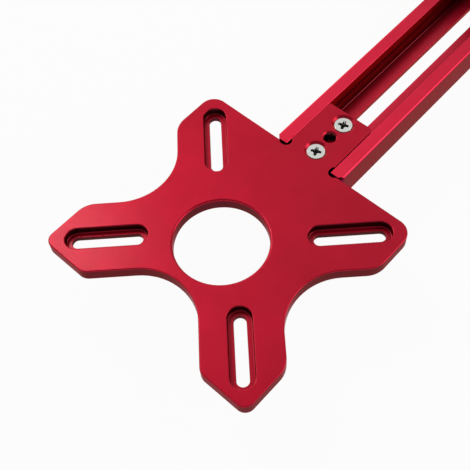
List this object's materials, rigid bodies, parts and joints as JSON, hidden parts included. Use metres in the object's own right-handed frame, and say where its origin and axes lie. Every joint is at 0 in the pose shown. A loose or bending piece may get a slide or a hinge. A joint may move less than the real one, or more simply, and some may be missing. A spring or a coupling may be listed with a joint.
{
  "type": "router jig",
  "caption": "Four-armed red plate with a cutter hole and stepped slots, on a slotted rail whose sliding carriage holds a fence and a pivot pin.",
  "frame": {"origin": "under the middle of the whole jig, at the height of the knobs' outer faces; the cutter's axis is at x = -104.6 mm, y = 0, and the work face at z = 27.74 mm", "axes": "+X from the cutter's axis along the rail, +Z out of the work face, so the jig lies with its router side down"},
  "size_m": [0.2852, 0.12, 0.043],
  "materials": {
    "red_anodised": "satin red anodised",
    "plated_steel": "zinc plated",
    "brass": "turned",
    "black_nylon": "moulded, fine grain"
  },
  "bodies": {
    "frame": {"base_plate": "red_anodised", "guide_rail": "red_anodised", "rail_screw_1": "plated_steel", "rail_screw_2": "plated_steel", "end_stop": "black_nylon", "end_screw_1": "plated_steel", "end_screw_2": "plated_steel"},
    "carriage": {"carriage": "red_anodised", "clamp_bolt_1": "plated_steel", "clamp_bolt_2": "plated_steel", "fence_bar": "red_anodised", "fence_screw_1": "plated_steel", "fence_screw_2": "plated_steel", "pivot_pin": "plated_steel", "pivot_washer": "plated_steel"},
    "washer_1": {"clamp_washer_1": "plated_steel"},
    "knob_1": {"clamp_knob_1": "black_nylon", "knob_insert_1": "brass"},
    "washer_2": {"clamp_washer_2": "plated_steel"},
    "knob_2": {"clamp_knob_2": "black_nylon", "knob_insert_2": "brass"}
  },
  "joints": [
    {"name": "carriage_slide", "type": "slide", "parent": "frame", "child": "carriage", "axis": [1, 0, 0], "range_m": [-0.087, 0.028]},
    {"name": "knob_1_travel", "type": "slide", "parent": "carriage", "child": "washer_1", "axis": [0, 0, -1], "range_m": [0, 0.00165]},
    {"name": "knob_1_turn", "type": "hinge", "parent": "washer_1", "child": "knob_1", "pos_m": [0.0714, 0, 0.00774], "axis": [0, 0, -1], "range_deg": [0, 720]},
    {"name": "knob_2_travel", "type": "slide", "parent": "carriage", "child": "washer_2", "axis": [0, 0, -1], "range_m": [0, 0.00165]},
    {"name": "knob_2_turn", "type": "hinge", "parent": "washer_2", "child": "knob_2", "pos_m": [0.0994, 0, 0.00774], "axis": [0, 0, -1], "range_deg": [0, 720]}
  ],
  "couplings": [
    {"joint": "knob_1_travel", "follows": "knob_1_turn", "m_per_rad": 0.00012732},
    {"joint": "knob_2_travel", "follows": "knob_2_turn", "m_per_rad": 0.00012732}
  ]
}
